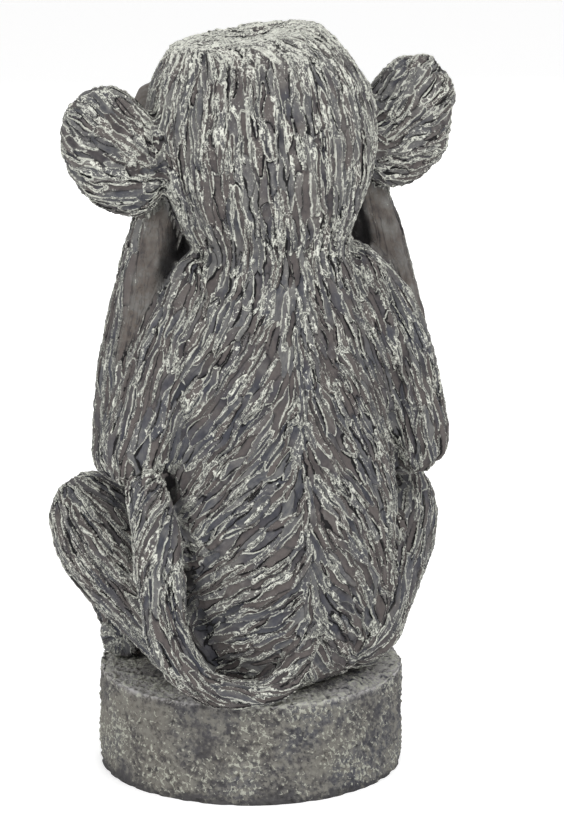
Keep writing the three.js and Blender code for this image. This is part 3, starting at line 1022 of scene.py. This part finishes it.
def rough_plinth(material):
    """A turned disc with a crisp broken rim, its side pitted and its top combed outwards."""
    low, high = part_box("plinth")
    radius = (high[0] - low[0]) / 2 - PLINTH_ROUGHNESS
    disc = plinth_disc(radius, high[2])
    roughen(disc.data, radius, high[2])
    finished(disc, "plinth", material)


# Paint

class Measure:
    """A number that varies over the stone. Sums and products of measures become math nodes."""

    def __init__(self, tree, socket):
        self.tree = tree
        self.socket = socket

    def reckoned(self, operation, first, second=0.0):
        node = add_node(self.tree, "ShaderNodeMath", {0: first, 1: second}, operation=operation)
        return Measure(self.tree, node.outputs[0])

    def __add__(self, other):
        return self.reckoned("ADD", self, other)

    def __sub__(self, other):
        return self.reckoned("SUBTRACT", self, other)

    def __rsub__(self, other):
        return self.reckoned("SUBTRACT", other, self)

    def __mul__(self, other):
        return self.reckoned("MULTIPLY", self, other)

    def __abs__(self):
        return self.reckoned("ABSOLUTE", self)

    def larger(self, other):
        return self.reckoned("MAXIMUM", self, other)

    def above(self, limit):
        """1 where the number is greater than the limit, and 0 elsewhere."""
        return self.reckoned("GREATER_THAN", self, limit)

    def ramp(self, low, high):
        """From 0 to 1 while the number goes from low to high, eased at both ends."""
        inputs = {"Value": self, "From Min": low, "From Max": high}
        node = add_node(self.tree, "ShaderNodeMapRange", inputs, interpolation_type="SMOOTHSTEP")
        return Measure(self.tree, node.outputs["Result"])


def set_or_link(tree, socket, value):
    """Links a measure or a node's output to a socket, or sets a number or a hexadecimal colour on it."""
    if isinstance(value, Measure):
        value = value.socket
    elif isinstance(value, str):
        value = linear(value)
    if isinstance(value, bpy.types.NodeSocket):
        tree.links.new(value, socket)
    else:
        socket.default_value = value


def add_node(tree, kind, inputs=None, **settings):
    node = tree.nodes.new(kind)
    for name, value in settings.items():
        setattr(node, name, value)
    for name, value in (inputs or {}).items():
        set_or_link(tree, node.inputs[name], value)
    return node


def linear(hexadecimal):
    """A colour as it is seen, turned into the renderer's linear values."""
    shares = [int(hexadecimal[i:i + 2], 16) / 255 for i in (0, 2, 4)]
    return [s / 12.92 if s <= 0.04045 else ((s + 0.055) / 1.055) ** 2.4 for s in shares] + [1]


def measures(tree, sockets):
    return [Measure(tree, socket) for socket in sockets]


def stored(tree, *names):
    """The numbers that the carving kept under these names."""
    nodes = [add_node(tree, "ShaderNodeAttribute", attribute_name=name) for name in names]
    return measures(tree, [node.outputs["Fac"] for node in nodes])


def stored_vector(tree, name):
    return add_node(tree, "ShaderNodeAttribute", attribute_name=name).outputs["Vector"]


def parted(tree, vector):
    return measures(tree, add_node(tree, "ShaderNodeSeparateXYZ", {"Vector": vector}).outputs)


def joined(tree, x, y, z):
    return add_node(tree, "ShaderNodeCombineXYZ", {"X": x, "Y": y, "Z": z}).outputs["Vector"]


def noise(tree, place, scale, detail=3.0, roughness=0.6):
    inputs = {"Vector": place, "Scale": scale, "Detail": detail, "Roughness": roughness}
    return Measure(tree, add_node(tree, "ShaderNodeTexNoise", inputs).outputs["Fac"])


def blend(tree, share, first, second):
    return add_node(tree, "ShaderNodeMix", {0: share, 6: first, 7: second}, data_type="RGBA").outputs[2]


def shader_group(name, inputs, outputs):
    """An empty shader group with named sockets, its tree, its inputs and the node that ends it."""
    group = bpy.data.node_groups.new(name, "ShaderNodeTree")
    for socket, kind in inputs.items():
        group.interface.new_socket(socket, in_out="INPUT", socket_type=f"NodeSocket{kind}")
    for socket, kind in outputs.items():
        group.interface.new_socket(socket, in_out="OUTPUT", socket_type=f"NodeSocket{kind}")
    start = group.nodes.new("NodeGroupInput")
    end = group.nodes.new("NodeGroupOutput")
    return group, start.outputs, end


def filled_group(tree, group, inputs):
    node = tree.nodes.new("ShaderNodeGroup")
    node.node_tree = group
    for name, value in inputs.items():
        set_or_link(tree, node.inputs[name], value)
    return node.outputs


def crackle_lines_group():
    """A lace of thin wandering lines, 1 on a line: Scale is how many meshes there are to a unit of Place."""
    inputs = {"Place": "Vector", "Scale": "Float", "Bend": "Float"}
    group, given, end = shader_group("crackle_lines", inputs, {"Lines": "Float"})

    def vectors(operation, values):
        return add_node(group, "ShaderNodeVectorMath", values, operation=operation).outputs["Vector"]

    scaled = vectors("SCALE", {0: given["Place"], "Scale": given["Scale"]})
    bends = add_node(group, "ShaderNodeTexNoise", {"Vector": scaled, "Scale": 0.8, "Detail": 3.0})
    pushed = vectors("SCALE", {0: bends.outputs["Color"], "Scale": given["Bend"]})
    bent = vectors("ADD", {0: scaled, 1: pushed})
    cells = {"Vector": bent, "Scale": 1.0}
    off_line = add_node(group, "ShaderNodeTexVoronoi", cells, feature="DISTANCE_TO_EDGE").outputs["Distance"]
    set_or_link(group, end.inputs["Lines"], Measure(group, off_line).ramp(0.13, 0.02))
    return group


def stone_grain_group():
    """The sandy grain of the casting: speckle, larger flecks, pits, and wide patches."""
    outputs = {"Speckle": "Float", "Flecks": "Float", "Pits": "Float", "Patches": "Float"}
    group, given, end = shader_group("stone_grain", {"Place": "Vector", "Fineness": "Float"}, outputs)
    place, fine = given["Place"], Measure(group, given["Fineness"])
    cells = {"Vector": place, "Scale": fine * 900.0, "Randomness": 1.0}
    blisters = add_node(group, "ShaderNodeTexVoronoi", cells).outputs["Distance"]
    results = {
        "Speckle": noise(group, place, fine * 1700.0, 2.0, 0.75),
        "Flecks": noise(group, place, fine * 600.0, 3.0, 0.65),
        "Pits": Measure(group, blisters).ramp(0.28, 0.12),
        "Patches": noise(group, place, fine * 70.0, 2.0, 0.5),
    }
    for name, value in results.items():
        set_or_link(group, end.inputs[name], value)
    return group


def dry_brush_and_painted_light_group():
    """Pale paint dragged over what stands proud, which also carries painted light on upper surfaces and less
    pale in painted shade: Reach is how far a spot stands out to the brush, with its painted light added.
    """
    inputs = {"Color": "Color", "Pale": "Color", "Reach": "Float", "Edge": "Float", "Cover": "Float"}
    group, given, end = shader_group("dry_brush_and_painted_light", inputs, {"Color": "Color"})
    reach, edge, cover = measures(group, [given[name] for name in ("Reach", "Edge", "Cover")])
    brushed = reach.ramp(edge, edge + 0.3) * cover
    group.links.new(blend(group, brushed, given["Color"], given["Pale"]), end.inputs["Color"])
    return group


def painted_shade_and_mottle_group():
    """Darkens towards Dark by Depth: painted shade in hollows, cracks, sheltered pockets, low places and at
    the foot, together with random dark mottling.
    """
    inputs = {"Color": "Color", "Dark": "Color", "Depth": "Float", "Cover": "Float"}
    group, given, end = shader_group("painted_shade_and_mottle", inputs, {"Color": "Color"})
    depth, cover = measures(group, [given["Depth"], given["Cover"]])
    share = depth.ramp(0.0, 1.0) * cover
    group.links.new(blend(group, share, given["Color"], given["Dark"]), end.inputs["Color"])
    return group


def new_stone(name):
    """A node material, its tree and the place on the object that its patterns follow."""
    material = bpy.data.materials.new(name)
    material.use_nodes = True
    tree = material.node_tree
    return material, tree, add_node(tree, "ShaderNodeTexCoord").outputs["Object"]


def finish_stone(tree, colour, height, speckle):
    """Colour, dry rough surface and fine relief on the material's own shader."""
    shader = tree.nodes["Principled BSDF"]
    tree.links.new(colour, shader.inputs["Base Color"])
    rough = add_node(tree, "ShaderNodeMapRange", {"Value": speckle, "To Min": 0.7, "To Max": 0.98})
    tree.links.new(rough.outputs["Result"], shader.inputs["Roughness"])
    shader.inputs["Specular IOR Level"].default_value = 0.3
    bump = add_node(tree, "ShaderNodeBump", {"Height": height, "Strength": 1.0, "Distance": BUMP_HEIGHT})
    tree.links.new(bump.outputs["Normal"], shader.inputs["Normal"])


def fur_paint(grain_group, crackle_group, brush_and_light_group, shade_and_mottle_group):
    """Carved stone: smooth dark gouges, grainy rims between them, and wiry pale crests along their edges,
    with painted shade in hollows, cracks and pockets and painted light on the upper parts.
    """
    material, tree, place = new_stone("carved_stone")
    grain = filled_group(tree, grain_group, {"Place": place, "Fineness": 1.0})
    speckle, flecks, pits, patches = measures(tree, grain)
    clouds = noise(tree, place, 170.0, 2.0)
    relief, swell, patchy, fur, crease, hollow, shelter, open_end = stored(
        tree, "relief", "swell", "patchy", "fur", "crease", "hollow", "shelter", "open_end")
    aside, along, border = parted(tree, stored_vector(tree, "in_strand"))
    rim, crest_here, crack_here = parted(tree, stored_vector(tree, "seam_kind"))
    strands = {0: border.above(0.0), 4: stored_vector(tree, "next_strand"), 5: stored_vector(tree, "strand")}
    tone, shade, gouge = parted(tree, add_node(tree, "ShaderNodeMix", strands, data_type="VECTOR").outputs[1])

    # Places on the figure: the head's height and the flat crown, which get painted light from above, what is
    # near the plinth, painted lighter, and the left knee; bare skin, and pockets shut in by what stands round
    # them, which get painted shade
    across, _, rise = parted(tree, place)
    high_up = rise.ramp(*UPPER_HALF)
    on_crown = rise.ramp(*FLAT_CROWN)
    low_down = rise.ramp(*NEAR_PLINTH)
    left_knee = across.ramp(*KNEE_ASIDE) * rise.ramp(*KNEE_HEIGHT)
    bare = fur.ramp(0.5, 0.1) * shelter.ramp(0.95, 0.75)
    shut_in = shelter.ramp(0.5, 1.0)

    # Across a gouge: the grainy rim, its crest, a gash on the dark side painted black as its shadow, a split
    # painted black as shadow in the crack, and the smooth floor with painted shade along its edges
    at_end = (abs(along) - abs(aside)).ramp(0.1, 0.35)
    beside = 1.0 - at_end
    wobble = noise(tree, place, 700.0, 2.0) - 0.5
    distance = abs(border)
    edge = distance - rim + wobble * RIM_WOBBLE + at_end * open_end
    floor = edge.ramp(-0.02, 0.16)
    rough_rim = 1.0 - floor
    broken = (noise(tree, place, 320.0, 2.0) + tone * 0.2).ramp(0.45, 0.7)
    crest = abs(edge - 0.03).ramp(CREST_WIDTH, 0.02) * (broken * 0.65 + 0.35)
    crest = crest * crest_here.ramp(0.0, 0.45) * fur
    taper = shade * abs(along).ramp(0.55, 0.0)
    gash = edge.ramp(0.0, 0.08) * (edge - taper * 0.85).ramp(0.15, 0.0) * taper.ramp(0.1, 0.35) * beside
    split = (distance + wobble * 0.3).ramp(0.32, 0.08) * crack_here * beside
    crack = gash.larger(split) * fur.ramp(0.1, 0.5)
    inner = edge.ramp(0.0, 0.15) * edge.ramp(1.1, 0.1)

    # Along a gouge: streaks, thin hairs, and a lace of lines over rims and shallow floors
    strand_place = joined(tree, aside * 3.0, along * 1.6, tone * 37.0)
    streaks = noise(tree, strand_place, 2.2, 4.0, 0.65)
    hair = abs(noise(tree, strand_place, 1.7, 2.0, 0.5) - 0.5).ramp(0.035, 0.0) * flecks.ramp(0.4, 0.6) * fur
    lace_place = joined(tree, aside * 3.6, along * 4.2, tone * 37.0)
    lines = filled_group(tree, crackle_group, {"Place": lace_place, "Scale": 1.0, "Bend": 0.35})["Lines"]
    lace = Measure(tree, lines) * flecks.ramp(0.34, 0.52) * fur
    laced = lace * rough_rim.larger(gouge.ramp(0.54, 0.38) * 0.9)

    hue = tone + (patches - 0.5) * 1.6
    # lit: painted light on raised places, the upper half and the crown, mixed with random streaks, flecks,
    # clouds and tone
    lit = (swell * 0.5 + (streaks - 0.5) * 1.4 + (flecks - 0.5) * 0.9 + (clouds - 0.5) * 1.2
           + (tone - 0.5) * 0.9 + high_up * 0.25 + on_crown * 0.25)
    rim_share = (speckle.ramp(0.42, 0.62) * 0.55).larger(lace)
    mottled = (flecks - 0.5) * 1.2 + (clouds - 0.5) * 1.6
    colour = blend(tree, hue.ramp(0.25, 0.85), FUR_COLOURS["warm"], FUR_COLOURS["cool"])
    colour = blend(tree, lit.ramp(-0.3, 0.8) * 0.85, colour, FUR_COLOURS["floor_light"])
    rim_colour = blend(tree, rim_share, FUR_COLOURS["rim"], FUR_COLOURS["rim_light"])
    rim_colour = blend(tree, pits * 0.8, rim_colour, FUR_COLOURS["dark"])
    colour = blend(tree, floor.larger(bare), rim_colour, colour)
    skin = blend(tree, mottled.ramp(-0.3, 0.5), FUR_COLOURS["skin"], FUR_COLOURS["floor_light"])
    colour = blend(tree, bare * 0.8, colour, skin)

    # deep: painted shade in low places, deeper gouges and along the floors' edges, with random dark mottling;
    # black: painted shadow in cracks, creases, hollows and sheltered pockets, less near the plinth
    deep = (swell * -0.45 + inner * 0.4 * (1.1 - tone) + (flecks - 0.5) * 0.8 + (clouds - 0.5) * -1.0
            + gouge * 0.15)
    black = (crack * 1.3 + crease * 0.3 + hollow * 0.1 + shut_in * 0.7 + crease * bare * 0.5
             + bare * shelter.ramp(0.15, 0.6) * 0.8 + low_down * -0.35 - 0.1)
    # reach: pale dry brush on crests, relief, grain and lace, painted light on the upper half and the crown,
    # less pale in hollows, cracks and sheltered pockets as painted shade, and more near the plinth and on the
    # left knee
    reach = (crest * 1.25 + relief * 0.6 + patchy * 0.1 + (speckle - 0.5) * (1.5 - bare * 0.8)
             + hollow * -0.3 + low_down * 0.07 + left_knee * 0.17 + crack * -0.8 + hair * 0.25
             + (clouds - 0.5) * 0.5 + high_up * 0.21 + on_crown * 0.15 + laced * 0.55
             + bare * (relief * 0.6 + streaks * 0.5 - 0.25) + shut_in * -0.8)
    for depth, paint, cover in ((deep, "dark", 0.9), (black, "black", 0.95)):
        shade_and_mottle = {"Color": colour, "Dark": FUR_COLOURS[paint], "Depth": depth, "Cover": cover}
        colour = filled_group(tree, shade_and_mottle_group, shade_and_mottle)["Color"]
    brush_and_light = {"Color": colour, "Pale": FUR_COLOURS["pale"], "Reach": reach, "Edge": 0.4, "Cover": 0.85}
    colour = filled_group(tree, brush_and_light_group, brush_and_light)["Color"]

    height = (rough_rim * 0.55 * fur + crest * 0.5 + crack * -0.8 + laced * 0.35
              + speckle * (rough_rim * 0.5 + 0.2) + pits * rough_rim * -0.5 + streaks * 0.6 + flecks * 0.5)
    finish_stone(tree, colour, height, speckle)
    return material


def plinth_paint(grain_group, crackle_group, brush_and_light_group, shade_and_mottle_group):
    """Rough cast stone: a fine crackle of pale lines and small pits over mottled grey, with painted light on
    the top towards its rim, a worn pale rim, and painted shade at the foot.
    """
    material, tree, place = new_stone("rough_stone")
    grain = filled_group(tree, grain_group, {"Place": place, "Fineness": 0.8})
    speckle, flecks, pits, patches = measures(tree, grain)
    relief, swell, comb, top, foot = stored(tree, "relief", "swell", "comb", "top", "foot")
    wide = noise(tree, place, 42.0, 3.0, 0.6)
    clouds = noise(tree, place, 210.0, 3.0, 0.65)
    crackle = filled_group(tree, crackle_group, {"Place": place, "Scale": 370.0, "Bend": 1.1})["Lines"]
    lines = Measure(tree, crackle) * flecks.ramp(0.32, 0.48) * wide.ramp(0.36, 0.56)

    hue = patches + parted(tree, place)[0] * -2.5
    # The top towards its rim gets a paler colour as painted light from above, and the worn rim too
    lit_top_and_worn_rim = top * (flecks + clouds + comb * 0.12).ramp(0.7, 1.05)
    colour = blend(tree, hue.ramp(0.3, 0.7), PLINTH_COLOURS["warm"], PLINTH_COLOURS["cool"])
    colour = blend(tree, (flecks + clouds).ramp(0.8, 1.2), colour, PLINTH_COLOURS["mid"])
    colour = blend(tree, lit_top_and_worn_rim, colour, PLINTH_COLOURS["lit_top_and_worn_rim"])
    # deep: painted shade in low places and at the foot, darker pits, less on the lit top, and random dark
    # mottling; reach: pale dry brush on relief, comb strokes and grain, and painted light on the top
    deep = (swell * -0.5 + (flecks - 0.5) * -2.2 + (clouds - 0.5) * -1.8 + pits * 0.5 + foot * 0.8
            + (wide - 0.5) * -2.2 + top * -0.7 + 0.2)
    reach = (lines * 0.62 + relief * 1.3 + comb * 0.35 + (speckle - 0.5) * 2.3 + foot * -0.5
             + top * 0.42 - 0.18 + (clouds - 0.5) * 0.9 + (wide - 0.5) * 1.6)
    shade_and_mottle = {"Color": colour, "Dark": PLINTH_COLOURS["dark"], "Depth": deep, "Cover": 0.8}
    colour = filled_group(tree, shade_and_mottle_group, shade_and_mottle)["Color"]
    brush_and_light = {"Color": colour, "Pale": PLINTH_COLOURS["pale"], "Reach": reach, "Edge": 0.3, "Cover": 0.75}
    colour = filled_group(tree, brush_and_light_group, brush_and_light)["Color"]
    height = speckle * 0.5 + flecks * 0.8 + lines * 0.4 + pits * -0.5
    finish_stone(tree, colour, height, speckle)
    return material


# Stage

def seen_directly(tree):
    """1 for the camera and for what glossy or clear surfaces show, and 0 for light."""
    path = tree.nodes.new("ShaderNodeLightPath")
    rays = [path.outputs[f"Is {kind} Ray"] for kind in ("Camera", "Glossy", "Transmission")]
    seen, shown, through = measures(tree, rays)
    return seen.larger(shown).larger(through)


def studio():
    bpy.ops.object.select_all(action="DESELECT")
    bpy.ops.mesh.primitive_plane_add(size=FLOOR_SIZE, location=(0, 0, 0))
    floor = bpy.context.active_object
    floor.name = "floor"
    material = bpy.data.materials.new("pale_floor")
    material.use_nodes = True
    tree = material.node_tree
    shader = tree.nodes["Principled BSDF"]
    shader.inputs["Base Color"].default_value = (0.9, 0.9, 0.9, 1)
    shader.inputs["Roughness"].default_value = 0.9
    shader.inputs["Emission Color"].default_value = (1, 1, 1, 1)
    set_or_link(tree, shader.inputs["Emission Strength"], seen_directly(tree) * FLOOR_GLOW)
    floor.data.materials.append(material)

    world = bpy.data.worlds.new("studio")
    bpy.context.scene.world = world
    world.use_nodes = True
    tree = world.node_tree
    background = tree.nodes["Background"]
    glow = {"Value": seen_directly(tree), "To Min": SKY_LIGHT, "To Max": 1.0}
    strength = add_node(tree, "ShaderNodeMapRange", glow)
    background.inputs["Color"].default_value = (1, 1, 1, 1)
    tree.links.new(strength.outputs["Result"], background.inputs["Strength"])


def lamp(name, azimuth, elevation, distance, size, power):
    light = bpy.data.lights.new(name, "AREA")
    light.shape = "DISK"
    light.size = size
    light.energy = power
    lamp_object = bpy.data.objects.new(name, light)
    bpy.context.scene.collection.objects.link(lamp_object)
    turn, rise = math.radians(azimuth), math.radians(elevation)
    away = Vector((math.sin(turn) * math.cos(rise), -math.cos(turn) * math.cos(rise), math.sin(rise)))
    lamp_object.location = Vector(LAMP_AIM) + away * distance
    lamp_object.rotation_euler = away.to_track_quat("Z", "Y").to_euler()


def camera():
    data = bpy.data.cameras.new("camera")
    data.lens = CAMERA_LENS
    data.sensor_width = CAMERA_SENSOR
    data.clip_start = 0.05
    data.clip_end = 50
    viewer = bpy.data.objects.new("camera", data)
    bpy.context.scene.collection.objects.link(viewer)
    toward_camera = Vector((math.sin(CAMERA_AZIMUTH), -math.cos(CAMERA_AZIMUTH), 0))
    aside = Vector((0, 0, 1)).cross(toward_camera)
    viewer.location = toward_camera * CAMERA_DISTANCE + Vector((0, 0, CAMERA_HEIGHT))
    aim = Vector((0, 0, AIM_HEIGHT)) + aside * AIM_ASIDE
    viewer.rotation_mode = "QUATERNION"
    viewer.rotation_quaternion = (aim - viewer.location).to_track_quat("-Z", "Y")
    bpy.context.scene.camera = viewer


camera()
studio()
for lamp_name, settings in LAMPS.items():
    lamp(lamp_name, *settings)
bpy.context.scene.view_settings.view_transform = "Standard"

groups = (stone_grain_group(), crackle_lines_group(), dry_brush_and_painted_light_group(), painted_shade_and_mottle_group())
carved_figure(fur_paint(*groups))
rough_plinth(plinth_paint(*groups))
